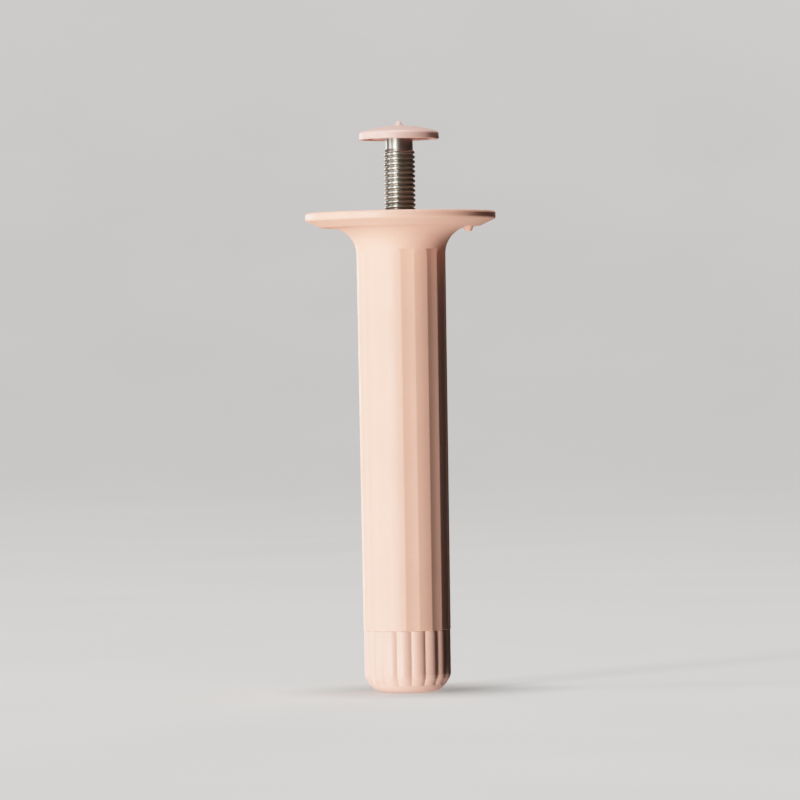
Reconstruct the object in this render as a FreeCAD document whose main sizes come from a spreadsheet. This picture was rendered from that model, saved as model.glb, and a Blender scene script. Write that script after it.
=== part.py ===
import FreeCAD, Part
import math
import os
import Sketcher

# Adjustable cabinet leg. Millimetres; +Z is up, the origin is the centre of the foot's underside.

doc = FreeCAD.newDocument("cabinet_leg")

SIZES = [
    # column and flange
    ("column_base", 19.45, "height of the column's lower end"),
    ("column_r_low", 13.62, "column radius at its lower end"),
    ("column_r_high", 13.94, "column radius under the flange"),
    ("column_top", 145.4, "height where column and flange meet"),
    ("flange_fillet", 8.5, "fillet from column to flange"),
    ("flange_r", 29.8, "flange radius"),
    ("flange_bevel_r", 24.9, "radius where the bevel starts"),
    ("flange_bevel_z", 145.4, "height where the bevel starts"),
    ("flange_rim_z", 147.65, "lower edge of the rim"),
    ("flange_top", 150.0, "bearing face of the flange"),
    ("rim_round", 0.7, "rounding of the rim edges"),
    ("bevel_round", 1.0, "rounding of the bevel edge"),
    ("base_bevel", 0.12, "bevel of the column's lower edge"),
    ("mouth_r", 11.5, "bush seat radius"),
    ("mouth_floor", 130.0, "height of the bush seat"),
    ("core_r", 10.9, "cored hollow radius"),
    ("core_floor", 31.0, "top of the lower end wall"),
    ("flute_count", 10, "number of flutes"),
    ("flute_r", 22.0, "radius of the flute cutter"),
    ("flute_depth", 0.25, "depth of a flute"),
    ("flute_wide", 3.2, "half the width of the flute cutter"),
    ("flute_top", 138.3, "upper end of the flutes"),
    ("flute_round", 1.6, "rounding of the flutes' edges"),
    ("flute_phase", -82.0, "azimuth of the first flute"),
    ("gate_x", 21.25, "place of the gate stub under the flange"),
    ("gate_r", 1.7, "gate stub radius at the flange"),
    ("gate_root", 145.9, "height of the gate stub's root"),
    ("gate_length", 2.15, "length of the gate stub"),
    ("gate_taper", -16.0, "taper of the gate stub"),
    ("gate_round", 0.45, "rounding of the gate stub's end"),
    # thread and nuts
    ("thread_r", 4.85, "outside radius of the M10 threads"),
    ("clear_r", 5.5, "clearance hole radius"),
    ("nut_flats", 17.0, "nut across flats"),
    ("nut_height", 8.0, "nut height"),
    ("nut_bore_r", 5.05, "nut bore radius"),
    ("nut_round_r", 9.4, "radius of the nut's corner bevel at its faces"),
    ("nut_bevel", 0.55, "height of the nut's corner bevel"),
    ("pocket_flats", 17.2, "nut pocket across flats"),
    ("pocket_depth", 8.4, "nut pocket depth"),
    # bush
    ("bush_r", 11.35, "bush radius"),
    ("bush_top", 149.7, "height of the bush's upper face"),
    ("bush_bevel", 0.4, "bevel of the bush's upper edge"),
    # clamp rod and cap
    ("rod_tip", 115.5, "height of the rod's lower end"),
    ("rod_head", 175.4, "height of the rod's upper end in the cap"),
    ("neck_r", 4.25, "neck radius"),
    ("neck_z", 169.4, "lower end of the neck"),
    ("tip_bevel", 0.9, "bevel at a thread's end"),
    ("cap_r", 12.45, "cap radius"),
    ("cap_rim", 172.75, "lower edge of the cap"),
    ("cap_shoulder", 175.0, "upper edge of the cap's rim"),
    ("cap_dome_r", 38.5, "dome radius"),
    ("cap_round", 0.9, "rounding of the cap's upper edge"),
    ("cap_lip_round", 0.3, "rounding of the cap's lower edge"),
    ("stub_r", 1.3, "gate stub radius on the crown"),
    ("stub_top_r", 0.6, "gate stub radius at its top"),
    ("stub_top", 178.45, "height of the gate stub's top"),
    ("stub_round", 0.35, "rounding of the gate stub's top"),
    ("cap_wall", 1.4, "rim wall"),
    ("cap_ceiling_out", 173.5, "height of the hollow at the rim"),
    ("cap_ceiling_in", 174.9, "height of the hollow at the hub"),
    ("hub_r", 6.2, "hub radius"),
    ("hub_rim", 172.95, "lower end of the hub"),
    ("hub_bore_r", 4.35, "hub bore radius"),
    ("cap_rib_count", 8, "number of ribs in the cap"),
    ("cap_rib_wide", 1.0, "rib thickness in the cap"),
    ("cap_rib_low", 173.05, "lower edge of a rib in the cap"),
    # ribbed foot and stud
    ("foot_top", 19.4, "height of the foot's upper face"),
    ("crest_r", 13.55, "crest radius of the ribs"),
    ("valley_r", 12.9, "valley radius of the ribs"),
    ("valley_round", 0.4, "rounding of the valleys"),
    ("chamfer_z", 5.6, "height where the ribs start to lean in"),
    ("lean_z", 4.5, "height where the ribs lean in further"),
    ("lean_crest_r", 13.25, "crest radius there"),
    ("lean_valley_r", 12.62, "valley radius there"),
    ("rib_end_z", 2.4, "lower end of the ribs"),
    ("rib_end_crest_r", 12.0, "crest radius at the ribs' lower end"),
    ("rib_end_valley_r", 11.5, "valley radius at the ribs' lower end"),
    ("lip_r", 11.75, "lip radius under the ribs"),
    ("sole_r", 7.0, "radius of the flat sole"),
    ("lip_round_r", 5.9, "rounding from sole to lip"),
    ("rib_phase", -84.5, "azimuth of the first valley"),
    ("foot_bevel", 0.15, "bevel of the foot's upper edge"),
    ("stud_seat", 5.0, "height of the stud's lower end"),
    ("stud_tip", 65.0, "height of the stud's upper end"),
    ("stud_bore_r", 5.0, "bore for the stud"),
]
RIBS = 18

sheet = doc.addObject("Spreadsheet::Sheet", "Sizes")
for row, (alias, value, note) in enumerate(SIZES, 1):
    sheet.set("A%d" % row, note)
    sheet.set("B%d" % row, str(value))
    sheet.setAlias("B%d" % row, alias)
doc.recompute()


class Size:
    """A number together with the sheet expression that gives it."""

    def __init__(self, value, text):
        self.value, self.text = float(value), text

    def __add__(self, other):
        other = size(other)
        return Size(self.value + other.value, "(%s + %s)" % (self.text, other.text))

    def __sub__(self, other):
        other = size(other)
        return Size(self.value - other.value, "(%s - %s)" % (self.text, other.text))

    def __mul__(self, other):
        other = size(other)
        return Size(self.value * other.value, "%s * %s" % (self.text, other.text))

    def __truediv__(self, other):
        other = size(other)
        return Size(self.value / other.value, "%s / (%s)" % (self.text, other.text))

    def root(self):
        return Size(math.sqrt(self.value), "sqrt(%s)" % self.text)


def size(x):
    return x if isinstance(x, Size) else Size(x, "%.9g" % x)


class Cells:
    """The sheet's cells by alias."""

    def __getattr__(self, alias):
        return Size(getattr(sheet, alias), "Sizes." + alias)


z = Cells()


def new_body(label):
    made = doc.addObject("PartDesign::Body", label)
    made.Label = label
    made.Placement = FreeCAD.Placement()
    return made


def origin_of(body, role):
    return next(o for o in body.Origin.OriginFeatures if o.Role == role)


def new_sketch(body, name, role, lift=None, turn=None):
    made = body.newObject("Sketcher::SketchObject", name)
    made.AttachmentSupport = [(origin_of(body, role), "")]
    made.MapMode = "FlatFace"
    if lift is not None:
        made.setExpression("AttachmentOffset.Base.z", lift.text)
    if turn is not None:
        made.setExpression("AttachmentOffset.Rotation.Angle", turn.text)
    doc.recompute()
    return made


def bind(sketch, constraint, amount):
    index = sketch.addConstraint(constraint)
    sketch.setExpression("Constraints[%d]" % index, amount.text)


def pin(sketch, geo, pos, x, y):
    """Hold a point of the sketch at sheet distances from its origin."""
    for kind, axis, amount in (("DistanceX", -2, x), ("DistanceY", -1, y)):
        if amount.value == 0:
            sketch.addConstraint(Sketcher.Constraint("PointOnObject", geo, pos, axis))
        elif amount.value > 0:
            bind(sketch, Sketcher.Constraint(kind, -1, 1, geo, pos, amount.value), amount)
        else:
            flipped = Size(-amount.value, "-1 * (%s)" % amount.text)
            bind(sketch, Sketcher.Constraint(kind, geo, pos, -1, 1, flipped.value), flipped)


def outline(sketch, corners):
    """A closed outline. A corner is (x, y) or (x, y, radius, left): an arc then runs to the next corner, with its centre on the left or right of the way there."""
    places = [(size(c[0]), size(c[1])) for c in corners]
    ends = []
    for n, corner in enumerate(corners):
        (ax, ay), (bx, by) = places[n], places[(n + 1) % len(corners)]
        a = FreeCAD.Vector(ax.value, ay.value, 0)
        b = FreeCAD.Vector(bx.value, by.value, 0)
        if len(corner) == 2:
            index = sketch.addGeometry(Part.LineSegment(a, b), False)
            ends.append((index, 1, 2))
            continue
        radius, left = size(corner[2]), corner[3]
        chord = b - a
        rise = math.sqrt(radius.value**2 - chord.Length**2 / 4)
        side = FreeCAD.Vector(-chord.y, chord.x, 0).normalize()
        middle = (a + b) * 0.5 + side * (rise if left else -rise)
        first, last = (a, b) if left else (b, a)
        angles = [math.atan2(p.y - middle.y, p.x - middle.x) for p in (first, last)]
        circle = Part.Circle(middle, FreeCAD.Vector(0, 0, 1), radius.value)
        index = sketch.addGeometry(Part.ArcOfCircle(circle, angles[0], angles[1]), False)
        ends.append((index, 1, 2) if left else (index, 2, 1))
        bind(sketch, Sketcher.Constraint("Radius", index, radius.value), radius)
    for n, (index, start, end) in enumerate(ends):
        follower = ends[(n + 1) % len(ends)]
        sketch.addConstraint(
            Sketcher.Constraint("Coincident", index, end, follower[0], follower[1])
        )
    for (x, y), (index, start, end) in zip(places, ends):
        pin(sketch, index, start, x, y)
    doc.recompute()
    return sketch


def ring(sketch, x, radius):
    """A circle with its centre on the sketch's own x axis."""
    circle = Part.Circle(
        FreeCAD.Vector(x.value, 0, 0), FreeCAD.Vector(0, 0, 1), radius.value
    )
    index = sketch.addGeometry(circle, False)
    bind(sketch, Sketcher.Constraint("Radius", index, radius.value), radius)
    pin(sketch, index, 3, x, size(0))
    doc.recompute()
    return sketch


def hexagon(sketch, flats):
    """A hexagon about the sketch's origin."""
    corner = flats / math.sqrt(3)
    return outline(
        sketch,
        [
            (corner * round(math.cos(math.radians(60 * n)), 9), corner * round(math.sin(math.radians(60 * n)), 9))
            for n in range(6)
        ],
    )


def lobes(sketch, crest, valley):
    """A closed ring of rounded ribs with rounded valleys. valley is where the ribs' arcs would meet."""
    half = math.pi / RIBS
    across = valley * math.sin(half)
    rise = crest - valley * math.cos(half)
    radius = (across * across + rise * rise) / (rise * 2)
    rib_at = crest - radius
    both = radius + z.valley_round
    aside = rib_at * math.sin(half)
    valley_at = rib_at * math.cos(half) + (both * both - aside * aside).root()
    # the rounding touches the rib's arc on the line between their centres
    out = (valley_at * radius + rib_at * math.cos(half) * z.valley_round) / both
    side = aside * z.valley_round / both
    corners = []
    for n in range(RIBS):
        c, t = round(math.cos(2 * half * n), 9), round(math.sin(2 * half * n), 9)
        corners += [
            (out * c + side * t, out * t - side * c, z.valley_round, False),
            (out * c - side * t, out * t + side * c, radius, True),
        ]
    return outline(sketch, corners)


def revolve(body, name, sketch, kind="Revolution"):
    made = body.newObject("PartDesign::" + kind, name)
    made.Profile = sketch
    made.ReferenceAxis = (sketch, ["V_Axis"])
    made.Angle = 360
    sketch.Visibility = False
    doc.recompute()
    return made


def extrude(body, name, sketch, kind, length, up=True):
    made = body.newObject("PartDesign::" + kind, name)
    made.Profile = sketch
    made.setExpression("Length", length.text)
    made.Reversed = up if kind == "Pocket" else not up
    sketch.Visibility = False
    doc.recompute()
    return made


def loft(body, name, first, second, kind):
    made = body.newObject("PartDesign::" + kind, name)
    made.Profile = first
    made.Sections = [second]
    made.Ruled = True
    first.Visibility = second.Visibility = False
    doc.recompute()
    return made


def around(body, name, feature, count):
    made = body.newObject("PartDesign::PolarPattern", name)
    made.Originals = [feature]
    made.Axis = (origin_of(body, "Z_Axis"), [""])
    made.Angle = 360
    made.setExpression("Occurrences", count.text)
    body.Tip = made
    doc.recompute()
    return made


def rim_edges(feature, radius, height):
    """Names of the round edges of this radius about the axis, at this height."""
    names = []
    for n, edge in enumerate(feature.Shape.Edges, 1):
        if not isinstance(edge.Curve, Part.Circle):
            continue
        at = edge.Curve.Center
        if (
            abs(edge.Curve.Radius - radius.value) < 0.02
            and abs(at.z - height.value) < 0.02
            and math.hypot(at.x, at.y) < 0.01
        ):
            names.append("Edge%d" % n)
    if not names:
        raise RuntimeError("no such edge on " + feature.Name)
    return names


def soften(body, name, feature, edges, amount, kind="Fillet"):
    made = body.newObject("PartDesign::" + kind, name)
    made.Base = (feature, edges)
    made.setExpression("Radius" if kind == "Fillet" else "Size", amount.text)
    doc.recompute()
    return made


def removes(feature, before):
    if not feature.Shape.Volume < before.Shape.Volume - 1e-3:
        raise RuntimeError(feature.Name + " cuts nothing")
    return feature


# Column and flange, one moulding, cored from the flange's side.
column = new_body("leg_column")
shape = outline(
    new_sketch(column, "column_profile", "XZ_Plane"),
    [
        (z.clear_r, z.column_base),
        (z.column_r_low, z.column_base),
        (z.column_r_high, z.column_top),
        (z.flange_bevel_r, z.flange_bevel_z),
        (z.flange_r, z.flange_rim_z),
        (z.flange_r, z.flange_top),
        (z.mouth_r, z.flange_top),
        (z.mouth_r, z.mouth_floor),
        (z.core_r, z.mouth_floor),
        (z.core_r, z.core_floor),
        (z.clear_r, z.core_floor),
    ],
)
turned = revolve(column, "column_turned", shape)
step = soften(
    column, "flange_throat", turned,
    rim_edges(turned, z.column_r_high, z.column_top), z.flange_fillet,
)
step = soften(
    column, "bevel_edge", step,
    rim_edges(step, z.flange_bevel_r, z.flange_bevel_z), z.bevel_round,
)
step = soften(
    column, "rim_edges", step,
    rim_edges(step, z.flange_r, z.flange_rim_z) + rim_edges(step, z.flange_r, z.flange_top),
    z.rim_round,
)
step = soften(
    column, "base_edge", step,
    rim_edges(step, z.column_r_low, z.column_base), z.base_bevel, "Chamfer",
)
mouth = soften(
    column, "mouth_edge", step,
    rim_edges(step, z.mouth_r, z.flange_top), z.base_bevel, "Chamfer",
)
lean = (z.column_r_high - z.column_r_low) / (z.column_top - z.column_base)


def flute_cut(name, height, radius):
    """The outline of what a flute leaves out: a very shallow hollow arc at its bottom, open to the outside."""
    bottom = radius - z.flute_depth
    rise = z.flute_r - (z.flute_r * z.flute_r - z.flute_wide * z.flute_wide).root()
    side = z.flute_wide
    return outline(
        new_sketch(column, name, "XY_Plane", height, z.flute_phase),
        [
            (bottom + rise, side, z.flute_r, True),
            (bottom + rise, side * -1),
            (bottom + side, side * -1),
            (bottom + side, side),
        ],
    )


flute_low = flute_cut("flute_low", z.column_base - 1, z.column_r_low - lean)
flute_high = flute_cut(
    "flute_high", z.flute_top, z.column_r_low + lean * (z.flute_top - z.column_base)
)
flute = removes(loft(column, "flute", flute_low, flute_high, "SubtractiveLoft"), mouth)
flutes = removes(around(column, "flutes", flute, z.flute_count), flute)


def long_edges(feature, shortest):
    """Names of the upright edges on the outside that are longer than this."""
    names = []
    for n, e in enumerate(feature.Shape.Edges, 1):
        box = e.BoundBox
        middle = e.valueAt((e.FirstParameter + e.LastParameter) / 2)
        if box.ZLength > shortest and math.hypot(middle.x, middle.y) > z.mouth_r.value + 0.5:
            names.append("Edge%d" % n)
    return names


arrises = soften(column, "flute_arrises", flutes, long_edges(flutes, 50), z.flute_round)
pocket = removes(
    extrude(
        column, "nut_pocket",
        hexagon(new_sketch(column, "nut_pocket_outline", "XY_Plane", z.column_base), z.pocket_flats),
        "Pocket", z.pocket_depth,
    ),
    arrises,
)
gate = extrude(
    column, "gate_stub",
    ring(new_sketch(column, "gate_stub_outline", "XY_Plane", z.gate_root), z.gate_x, z.gate_r),
    "Pad", z.gate_length, up=False,
)
gate.setExpression("TaperAngle", "Sizes.gate_taper")
doc.recompute()
soften(
    column, "gate_end", gate,
    [
        "Edge%d" % n
        for n, e in enumerate(gate.Shape.Edges, 1)
        if isinstance(e.Curve, Part.Circle) and abs(e.Curve.Center.x - z.gate_x.value) < 0.01
        and abs(e.Curve.Center.z - z.gate_root.value + z.gate_length.value) < 0.01
    ],
    z.gate_round,
)

# Bush in the flange's mouth, with the upper nut's pocket on its underside.
bush = new_body("nut_bush")
bush_turned = revolve(
    bush, "bush_turned",
    outline(
        new_sketch(bush, "bush_profile", "XZ_Plane"),
        [
            (z.clear_r, z.mouth_floor),
            (z.bush_r, z.mouth_floor),
            (z.bush_r, z.bush_top - z.bush_bevel),
            (z.bush_r - z.bush_bevel, z.bush_top),
            (z.clear_r + z.bush_bevel, z.bush_top),
            (z.clear_r, z.bush_top - z.bush_bevel),
        ],
    ),
)
removes(
    extrude(
        bush, "bush_pocket",
        hexagon(new_sketch(bush, "bush_pocket_outline", "XY_Plane", z.mouth_floor), z.pocket_flats),
        "Pocket", z.pocket_depth,
    ),
    bush_turned,
)


# Two M10 hex nuts, each against the floor of its pocket.
def nut(label, floor):
    made = new_body(label)
    top = floor + z.pocket_depth
    low = top - z.nut_height
    face = new_sketch(made, label + "_outline", "XY_Plane", low)
    hexagon(face, z.nut_flats)
    ring(face, size(0), z.nut_bore_r)
    block = extrude(made, label + "_block", face, "Pad", z.nut_height)
    far = z.nut_flats
    bevels = new_sketch(made, label + "_bevels", "XZ_Plane")
    outline(bevels, [(z.nut_round_r - 0.6, top + 0.3), (far, top + 0.3), (far, top - z.nut_bevel * 9)])
    outline(bevels, [(z.nut_round_r - 0.6, low - 0.3), (far, low - 0.3), (far, low + z.nut_bevel * 9)])
    removes(revolve(made, label + "_corners", bevels, "Groove"), block)
    return made


nuts = [nut("clamp_nut", z.mouth_floor), nut("foot_nut", z.column_base)]

# Steel clamp rod with a smooth neck in the cap's hub.
rod = new_body("clamp_rod")
revolve(
    rod, "rod_turned",
    outline(
        new_sketch(rod, "rod_profile", "XZ_Plane"),
        [
            (0, z.rod_tip),
            (z.thread_r - z.tip_bevel, z.rod_tip),
            (z.thread_r, z.rod_tip + z.tip_bevel),
            (z.thread_r, z.neck_z - 0.5),
            (z.neck_r, z.neck_z + 0.35),
            (z.neck_r, z.rod_head),
            (0, z.rod_head),
        ],
    ),
)

# Domed cap, hollow below, with a hub on the rod's neck and radial ribs.
cap = new_body("clamp_cap")
dome_r2 = z.cap_dome_r * z.cap_dome_r
dome_z = z.cap_shoulder - (dome_r2 - z.cap_r * z.cap_r).root()
cap_turned = revolve(
    cap, "cap_turned",
    outline(
        new_sketch(cap, "cap_profile", "XZ_Plane"),
        [
            (0, z.rod_head),
            (z.hub_bore_r, z.rod_head),
            (z.hub_bore_r, z.hub_rim),
            (z.hub_r, z.hub_rim),
            (z.hub_r - 0.2, z.cap_ceiling_in),
            (z.cap_r - z.cap_wall - 0.1, z.cap_ceiling_out),
            (z.cap_r - z.cap_wall, z.cap_rim),
            (z.cap_r, z.cap_rim),
            (z.cap_r, z.cap_shoulder, z.cap_dome_r, True),
            (z.stub_r, dome_z + (dome_r2 - z.stub_r * z.stub_r).root()),
            (z.stub_top_r, z.stub_top),
            (0, z.stub_top),
        ],
    ),
)
step = soften(
    cap, "cap_edge", cap_turned, rim_edges(cap_turned, z.cap_r, z.cap_shoulder), z.cap_round
)
step = soften(
    cap, "cap_lip", step, rim_edges(step, z.cap_r, z.cap_rim), z.cap_lip_round
)
soften(cap, "crown_stub", step, rim_edges(step, z.stub_top_r, z.stub_top), z.stub_round)
rib_plate = outline(
    new_sketch(cap, "cap_rib_outline", "XZ_Plane"),
    [
        (z.hub_r - 0.7, z.cap_rib_low),
        (z.cap_r - z.cap_wall + 0.6, z.cap_rib_low),
        (z.cap_r - z.cap_wall + 0.6, z.cap_ceiling_out + 0.7),
        (z.hub_r - 0.7, z.cap_ceiling_in + 0.7),
    ],
)
cap_rib = cap.newObject("PartDesign::Pad", "cap_rib")
cap_rib.Profile = rib_plate
cap_rib.setExpression("Length", "Sizes.cap_rib_wide")
cap_rib.SideType = "Symmetric"
rib_plate.Visibility = False
doc.recompute()
around(cap, "cap_ribs", cap_rib, z.cap_rib_count)

# Ribbed foot: a ring of rounded ribs that leans in below and ends over a smooth lip.
foot = new_body("ribbed_foot")
lip = revolve(
    foot, "foot_lip",
    outline(
        new_sketch(foot, "lip_profile", "XZ_Plane"),
        [
            (0, 0),
            (z.sole_r, 0, z.lip_round_r, True),
            (z.lip_r, z.rib_end_z),
            (0, z.rib_end_z),
        ],
    ),
)
lower = lobes(
    new_sketch(foot, "ribs_low", "XY_Plane", z.rib_end_z, z.rib_phase),
    z.rib_end_crest_r, z.rib_end_valley_r,
)
lean = lobes(
    new_sketch(foot, "ribs_lean", "XY_Plane", z.lean_z, z.rib_phase), z.lean_crest_r, z.lean_valley_r
)
loft(foot, "ribs_leaning", lower, lean, "AdditiveLoft")
middle = lobes(
    new_sketch(foot, "ribs_middle", "XY_Plane", z.lean_z, z.rib_phase), z.lean_crest_r, z.lean_valley_r
)
upper = lobes(
    new_sketch(foot, "ribs_bend", "XY_Plane", z.chamfer_z, z.rib_phase), z.crest_r, z.valley_r
)
loft(foot, "ribs_bending", middle, upper, "AdditiveLoft")
straight = lobes(
    new_sketch(foot, "ribs_straight_outline", "XY_Plane", z.chamfer_z, z.rib_phase),
    z.crest_r, z.valley_r,
)
ribs = extrude(foot, "ribs_straight", straight, "Pad", z.foot_top - z.chamfer_z)
bevel_cut = outline(
    new_sketch(foot, "foot_bevel_profile", "XZ_Plane"),
    [
        (z.crest_r - z.foot_bevel, z.foot_top),
        (z.crest_r + 1, z.foot_top - z.foot_bevel - 1),
        (z.crest_r + 1, z.foot_top),
    ],
)
edge = removes(revolve(foot, "foot_edge", bevel_cut, "Groove"), ribs)
removes(
    extrude(
        foot, "stud_bore",
        ring(new_sketch(foot, "stud_bore_outline", "XY_Plane", z.foot_top), size(0), z.stud_bore_r),
        "Pocket", z.foot_top - z.stud_seat, up=False,
    ),
    edge,
)

# Steel stud held in the foot.
stud = new_body("foot_stud")
revolve(
    stud, "stud_turned",
    outline(
        new_sketch(stud, "stud_profile", "XZ_Plane"),
        [
            (0, z.stud_seat),
            (z.thread_r - z.tip_bevel, z.stud_seat),
            (z.thread_r, z.stud_seat + z.tip_bevel),
            (z.thread_r, z.stud_tip - z.tip_bevel),
            (z.thread_r - z.tip_bevel, z.stud_tip),
            (0, z.stud_tip),
        ],
    ),
)

doc.recompute()
bodies = [column, bush, rod, cap, foot, stud] + nuts
for item in doc.Objects:
    if "Invalid" in item.State or "Error" in item.State:
        raise RuntimeError("%s: %s" % (item.Name, item.State))
for item in bodies:
    if item.Shape.isNull() or not item.Shape.isValid() or len(item.Shape.Solids) != 1:
        raise RuntimeError(item.Label + " is not one valid solid")

os.makedirs("parts", exist_ok=True)
for item in bodies:
    item.Shape.exportStep("parts/%s.step" % item.Label)
    box = item.Shape.optimalBoundingBox()
    print(
        "%-12s %9.1f mm3  x %.2f..%.2f  y %.2f..%.2f  z %.2f..%.2f"
        % (item.Label, item.Shape.Volume, box.XMin, box.XMax, box.YMin, box.YMax, box.ZMin, box.ZMax)
    )
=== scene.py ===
import bpy, bmesh, math
from mathutils import Matrix, Vector


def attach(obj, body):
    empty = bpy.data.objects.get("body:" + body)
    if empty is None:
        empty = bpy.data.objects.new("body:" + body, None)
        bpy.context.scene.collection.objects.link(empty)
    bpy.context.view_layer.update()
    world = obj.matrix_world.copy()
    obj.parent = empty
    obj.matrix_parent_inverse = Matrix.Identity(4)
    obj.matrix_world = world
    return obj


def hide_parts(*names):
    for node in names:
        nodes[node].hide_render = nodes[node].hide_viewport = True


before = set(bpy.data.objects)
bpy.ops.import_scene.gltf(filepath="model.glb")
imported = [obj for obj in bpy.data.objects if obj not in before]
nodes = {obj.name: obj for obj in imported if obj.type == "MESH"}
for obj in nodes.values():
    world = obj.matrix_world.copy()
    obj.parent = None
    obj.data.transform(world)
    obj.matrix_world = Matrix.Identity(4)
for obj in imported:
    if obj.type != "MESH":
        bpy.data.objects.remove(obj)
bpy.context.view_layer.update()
scene = bpy.context.scene
MM = 0.001


# ---------------------------------------------------------------- materials
class Tree:
    """A material's nodes, made and linked in short lines."""

    def __init__(self, name):
        self.material = bpy.data.materials.new(name)
        self.material.use_nodes = True
        self.tree = self.material.node_tree
        self.tree.nodes.clear()
        self.out = self.node("ShaderNodeOutputMaterial")
        self.shader = self.node("ShaderNodeBsdfPrincipled")
        self.link(self.shader, "BSDF", self.out, "Surface")
        self.where = self.node("ShaderNodeTexCoord")

    def node(self, kind, **values):
        made = self.tree.nodes.new(kind)
        for key, value in values.items():
            setattr(made, key, value)
        return made

    def link(self, a, out, b, into):
        self.tree.links.new(a.outputs[out], b.inputs[into])

    def set(self, **values):
        for key, value in values.items():
            self.shader.inputs[key.replace("_", " ")].default_value = value

    def noise(self, scale, detail=3.0, rough=0.5, stretch=None, seed=0.0):
        made = self.node("ShaderNodeTexNoise", noise_dimensions="3D")
        made.inputs["Scale"].default_value = scale
        made.inputs["Detail"].default_value = detail
        made.inputs["Roughness"].default_value = rough
        place = self.node("ShaderNodeMapping")
        place.inputs["Location"].default_value = (seed, seed * 0.7, seed * 1.3)
        if stretch:
            place.inputs["Scale"].default_value = stretch
        self.link(self.where, "Object", place, "Vector")
        self.link(place, "Vector", made, "Vector")
        return made

    def ramp(self, source, stops, out="Fac", smooth=False):
        made = self.node("ShaderNodeValToRGB")
        if smooth:
            made.color_ramp.interpolation = "EASE"
        points = made.color_ramp.elements
        while len(points) < len(stops):
            points.new(0.5)
        for point, (at, colour) in zip(points, stops):
            point.position = at
            point.color = (*colour, 1) if len(colour) == 3 else colour
        self.link(source, out, made, "Fac")
        return made

    def mix(self, a, b, factor, kind="MIX"):
        """a and b are (node, output) or a colour; factor is (node, output) or a number."""
        made = self.node("ShaderNodeMix", data_type="RGBA", blend_type=kind)
        for value, index in ((factor, 0), (a, 6), (b, 7)):
            socket = made.inputs[index]
            if isinstance(value, tuple) and isinstance(value[0], bpy.types.Node):
                self.tree.links.new(value[0].outputs[value[1]], socket)
            elif isinstance(value, tuple):
                socket.default_value = (*value, 1)
            else:
                socket.default_value = value
        return made, 2

    def span(self, source, low, high, at=(0.3, 0.7), out="Fac"):
        made = self.node("ShaderNodeMapRange")
        made.inputs["From Min"].default_value, made.inputs["From Max"].default_value = at
        made.inputs["To Min"].default_value, made.inputs["To Max"].default_value = low, high
        self.tree.links.new(source.outputs[out], made.inputs["Value"])
        return made

    def bump(self, source, out, strength, distance, under=None):
        made = self.node("ShaderNodeBump")
        made.inputs["Strength"].default_value = strength
        made.inputs["Distance"].default_value = distance
        self.tree.links.new(source.outputs[out], made.inputs["Height"])
        if under:
            self.link(under, "Normal", made, "Normal")
        return made


def moulded(name, tone, seed):
    """Satin moulded plastic: faint clouding of the colour, a fine spark-eroded grain, soft flow marks and a few light rubs."""
    t = Tree(name)
    low, mid, high = [tuple(c * f for c in tone) for f in (0.955, 1.0, 1.035)]
    clouds = t.noise(38.0, 4.0, 0.55, seed=seed)
    colour = t.ramp(clouds, [(0.32, low), (0.5, mid), (0.68, high)], smooth=True)
    specks = t.noise(2600.0, 2.0, 0.6, seed=seed + 3)
    grains = t.ramp(specks, [(0.36, (0.93, 0.915, 0.90)), (0.5, (1, 1, 1))])
    body = t.mix((colour, "Color"), (grains, "Color"), 0.55, "MULTIPLY")
    rubs = t.noise(60.0, 5.0, 0.62, stretch=(9.0, 9.0, 1.0), seed=seed + 7)
    rubbed = t.ramp(rubs, [(0.66, (0, 0, 0)), (0.76, (1, 1, 1))])
    pale = tuple(min(1.0, c * 1.07 + 0.02) for c in tone)
    faint = t.node("ShaderNodeMath", operation="MULTIPLY")
    t.link(rubbed, "Color", faint, 0)
    faint.inputs[1].default_value = 0.35
    body = t.mix(body, pale, (faint, 0))
    t.tree.links.new(body[0].outputs[body[1]], t.shader.inputs["Base Color"])
    patches = t.noise(140.0, 3.0, 0.5, seed=seed + 11)
    rough = t.span(patches, 0.40, 0.52)
    t.link(rough, "Result", t.shader, "Roughness")
    waves = t.bump(t.noise(75.0, 2.0, 0.4, stretch=(1, 1, 0.5), seed=seed + 5), "Fac", 0.10, 0.0005)
    grain = t.bump(t.noise(3800.0, 3.0, 0.6, seed=seed + 1), "Fac", 0.16, 0.00006, waves)
    t.link(grain, "Normal", t.shader, "Normal")
    t.set(IOR=1.49, Subsurface_Weight=0.12, Subsurface_Scale=0.0012, Specular_IOR_Level=0.5)
    t.shader.inputs["Subsurface Radius"].default_value = (1.0, 0.55, 0.38)
    return t.material


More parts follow.
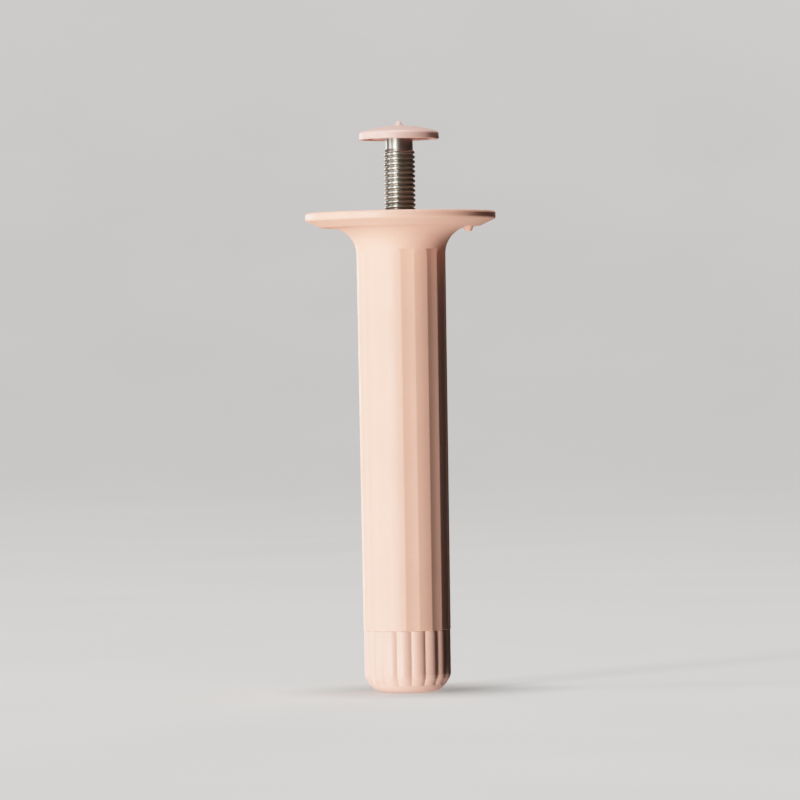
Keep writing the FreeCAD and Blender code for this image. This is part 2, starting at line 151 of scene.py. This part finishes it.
def plated(name, seed, grooved):
    """Zinc-plated steel: a cool grey metal with cloudy passivation, fine turning marks and painted shade that darkens
    the thread roots.
    """
    t = Tree(name)
    clouds = t.noise(420.0, 4.0, 0.6, seed=seed)
    metal = t.ramp(clouds, [(0.3, (0.26, 0.253, 0.216)), (0.55, (0.305, 0.299, 0.26)), (0.75, (0.34, 0.335, 0.30))])
    body = (metal, "Color")
    if grooved:
        # painted shade: the colour darkens towards the thread roots by their depth, made patchy by a noise
        depth = t.node("ShaderNodeAttribute", attribute_name="root", attribute_type="GEOMETRY")
        root_shade_mottle = t.noise(900.0, 3.0, 0.6, seed=seed + 4)
        root_shade = t.node("ShaderNodeMath", operation="MULTIPLY")
        t.link(depth, "Fac", root_shade, 0)
        t.link(t.span(root_shade_mottle, 0.08, 0.30), "Result", root_shade, 1)
        body = t.mix(body, (0.12, 0.112, 0.092), (root_shade, 0))
    if isinstance(body[1], str):
        t.link(body[0], body[1], t.shader, "Base Color")
    else:
        t.tree.links.new(body[0].outputs[body[1]], t.shader.inputs["Base Color"])
    t.link(t.span(t.noise(650.0, 3.0, 0.55, seed=seed + 2), 0.31, 0.37), "Result", t.shader, "Roughness")
    marks = t.noise(500.0, 3.0, 0.6, stretch=(0.6, 0.6, 14.0), seed=seed + 6)
    t.link(t.bump(marks, "Fac", 0.06, 0.00004), "Normal", t.shader, "Normal")
    t.set(Metallic=1.0)
    return t.material


PEACH = (0.848, 0.437, 0.315)
column_plastic = moulded("moulding_column", PEACH, 0.0)
cap_plastic = moulded("moulding_cap", tuple(c * f for c, f in zip(PEACH, (0.90, 1.06, 1.27))), 2.0)
foot_plastic = moulded("moulding_foot", tuple(c * f for c, f in zip(PEACH, (0.95, 0.98, 1.04))), 4.0)
bush_plastic = moulded("moulding_bush", tuple(c * 0.97 for c in PEACH), 6.0)
thread_steel = plated("plated_thread", 1.0, True)
nut_steel = plated("plated_nut", 3.0, False)


def dress(node, material):
    mesh = nodes[node].data
    mesh.materials.clear()
    mesh.materials.append(material)


dress("leg_column", column_plastic)
dress("clamp_cap", cap_plastic)
dress("ribbed_foot", foot_plastic)
dress("nut_bush", bush_plastic)
dress("clamp_nut", nut_steel)
dress("foot_nut", nut_steel)


# ---------------------------------------------------------------- threads
def threaded(name, low, high, runout=None, neck=None, pitch=1.5, crest=4.85, root=4.24, start=0.0):
    """A rod with a real helical thread, in mm about Z. The surface is laid out along the helix, so that crests and roots are true edges. runout is the height where the thread fades into a neck of that radius."""
    shape = [(0.0, root + 0.03), (0.04, root), (0.10, root), (0.14, root + 0.03), (0.36, crest - 0.04), (0.41, crest), (0.73, crest), (0.78, crest - 0.04)]
    turns, around = len(shape), 96
    rows = int(math.ceil((high - low) / pitch) + 2) * turns
    mesh = bpy.data.meshes.new(name)
    bm = bmesh.new()
    depth = bm.verts.layers.float.new("root")
    grid = []
    for row in range(rows + 1):
        part, r = shape[row % turns]
        at = low - pitch + (row // turns + part) * pitch
        line = []
        for step in range(around + 1):
            z = at + pitch * step / around
            radius = r
            if runout is not None:
                fade = min(1.0, max(0.0, (runout + 0.35 - z) / 1.1))
                fade = fade * fade * (3 - 2 * fade)
                radius = neck + (r - neck) * fade
            end = min(z - low, 1e9 if runout is not None else high - z)
            radius = min(radius, crest - 0.9 + max(0.0, end))
            z = min(max(z, low), high)
            a = 2 * math.pi * step / around + start
            v = bm.verts.new((radius * math.cos(a) * MM, radius * math.sin(a) * MM, z * MM))
            v[depth] = min(1.0, max(0.0, (crest - radius) / (crest - root))) if (runout is None or z < runout - 0.3) else 0.0
            line.append(v)
        grid.append(line)
    for a, b in zip(grid, grid[1:]):
        for n in range(around):
            bm.faces.new((a[n], a[n + 1], b[n + 1], b[n]))
    bmesh.ops.remove_doubles(bm, verts=bm.verts, dist=2e-7)
    bmesh.ops.dissolve_degenerate(bm, edges=bm.edges, dist=1e-7)
    rims = [e for e in bm.edges if e.is_boundary]
    if rims:
        bmesh.ops.holes_fill(bm, edges=rims, sides=0)
    bmesh.ops.recalc_face_normals(bm, faces=bm.faces)
    bm.to_mesh(mesh)
    bm.free()
    for polygon in mesh.polygons:
        polygon.use_smooth = True
    mesh.set_sharp_from_angle(angle=math.radians(40))
    made = bpy.data.objects.new(name, mesh)
    scene.collection.objects.link(made)
    mesh.materials.append(thread_steel)
    return made


rod = threaded("clamp_rod_threaded", 115.5, 175.4, runout=169.4, neck=4.25, start=0.6)
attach(rod, "bolt_rod")
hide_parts("clamp_rod")

stud = threaded("foot_stud_threaded", 5.0, 65.0, start=1.1)
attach(stud, "stud")
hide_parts("foot_stud")


# ---------------------------------------------------------------- stage
def bowl():
    """A pale floor that sweeps up into a wall all round."""
    flat, bend, wall = 2.2, 1.6, 3.2
    profile = [(0.0, 0.0)]
    profile += [(flat * n / 8, 0.0) for n in range(1, 9)]
    profile += [
        (flat + bend * math.sin(math.radians(a)), bend - bend * math.cos(math.radians(a)))
        for a in range(6, 91, 6)
    ]
    profile += [(flat + bend, wall)]
    bm = bmesh.new()
    around = 72
    rings = []
    for r, z in profile[1:]:
        rings.append([
            bm.verts.new((r * math.cos(2 * math.pi * n / around), r * math.sin(2 * math.pi * n / around), z))
            for n in range(around)
        ])
    middle = bm.verts.new((0, 0, 0))
    for n in range(around):
        bm.faces.new((middle, rings[0][n], rings[0][(n + 1) % around]))
    for a, b in zip(rings, rings[1:]):
        for n in range(around):
            m = (n + 1) % around
            bm.faces.new((a[n], b[n], b[m], a[m]))
    bmesh.ops.recalc_face_normals(bm, faces=bm.faces)
    mesh = bpy.data.meshes.new("floor")
    bm.to_mesh(mesh)
    bm.free()
    for polygon in mesh.polygons:
        polygon.use_smooth = True
    made = bpy.data.objects.new("floor", mesh)
    scene.collection.objects.link(made)
    t = Tree("pale_paper")
    tint = t.ramp(t.noise(6.0, 4.0, 0.5), [(0.35, (0.43, 0.425, 0.415)), (0.65, (0.455, 0.45, 0.44))])
    t.link(tint, "Color", t.shader, "Base Color")
    t.link(t.bump(t.noise(900.0, 3.0, 0.6), "Fac", 0.05, 0.0003), "Normal", t.shader, "Normal")
    t.set(Roughness=0.9, Specular_IOR_Level=0.2, Emission_Strength=0.42)
    t.shader.inputs["Emission Color"].default_value = (0.80, 0.79, 0.77, 1)
    mesh.materials.append(t.material)
    return made


floor = bowl()
# The floor and wall stay out of the diffuse light and out of the strips' way, so the leg keeps one lit and one dark side.
floor.visible_diffuse = False
floor.visible_glossy = False
floor.visible_shadow = False

aim_at = Vector((0, 0, 0.09))


def lamp(name, place, size, watts, tint, at=aim_at, tall=None):
    data = bpy.data.lights.new(name, "AREA")
    data.shape = "RECTANGLE" if tall else "DISK"
    data.size = size
    if tall:
        data.size_y = tall
    data.energy = watts
    data.color = tint
    made = bpy.data.objects.new(name, data)
    made.location = place
    made.rotation_euler = (Vector(at) - Vector(place)).to_track_quat("-Z", "Y").to_euler()
    made.visible_camera = False
    scene.collection.objects.link(made)
    return made


# All but one stand outside the bowl, so that none leaves a bright patch on the floor.
lamp("key", (-2.768, -3.674, 0.12), 0.68, 456.0, (1.0, 0.99, 0.975), tall=4.1)
lamp("side", (-4.56, -0.58, 0.12), 1.24, 208.0, (1.0, 0.975, 0.99), tall=5.1)
low = lamp("low", (-1.20, -1.87, -3.94), 1.67, 234.0, (1.0, 0.985, 1.0))
lamp("edge", (-2.60, 3.80, 0.25), 1.6, 75.0, (1.0, 0.985, 0.97))
rim = lamp("back_left", (-1.94, 4.17, 0.25), 1.6, 95.0, (1.0, 0.98, 0.95))
fill = lamp("back_right", (1.19, 4.44, 0.25), 1.6, 150.0, (1.0, 0.98, 0.95))
for soft in (low, rim, fill):
    soft.visible_glossy = False  # they would glint along the edges
lamp("above", (-0.15, -0.15, 4.0), 1.1, 205.0, (1.0, 0.99, 0.975), at=(0, 0, 0))

world = bpy.data.worlds.new("room")
world.use_nodes = True
world.node_tree.nodes["Background"].inputs["Color"].default_value = (1.0, 0.98, 0.94, 1)
world.node_tree.nodes["Background"].inputs["Strength"].default_value = 0.034
scene.world = world

# A film-like response: shadows keep their slope and lights roll off softly, 1 - exp(-x).
view = scene.view_settings
view.view_transform = "Standard"
view.look = "None"
view.use_curve_mapping = True
response = view.curve_mapping
WHITE = 4.0
response.white_level = (WHITE, WHITE, WHITE)
curve = response.curves[3]
for t in (0.02, 0.05, 0.1, 0.16, 0.24, 0.34, 0.46, 0.6, 0.78):
    curve.points.new(t, 1 - math.exp(-WHITE * t))
curve.points[-1].location = (1.0, 1 - math.exp(-WHITE))
response.update()

# ---------------------------------------------------------------- camera
# The photograph looks almost level at the leg from far off; the leg leans a little to the left in the frame.
PIXEL = 0.3128 * MM  # on the leg's axis
AWAY = 5500 * PIXEL
EYE, FOOT = 370.0, 691.85  # rows of the horizon and of the floor at the leg's axis
lens = bpy.data.cameras.new("camera")
lens.sensor_width = 36.0
lens.lens = 36.0 * AWAY / (800 * PIXEL)
lens.clip_start, lens.clip_end = 0.05, 30.0
camera = bpy.data.objects.new("camera", lens)
scene.collection.objects.link(camera)
dip = math.atan2(400 - EYE, 5500)
camera.matrix_world = (
    Matrix.Translation(Vector((-3.4 * PIXEL, -AWAY, (FOOT - EYE) * PIXEL)))
    @ Matrix.Rotation(math.radians(90) - dip, 4, "X")
    @ Matrix.Rotation(math.radians(-0.95), 4, "Z")
)
scene.camera = camera
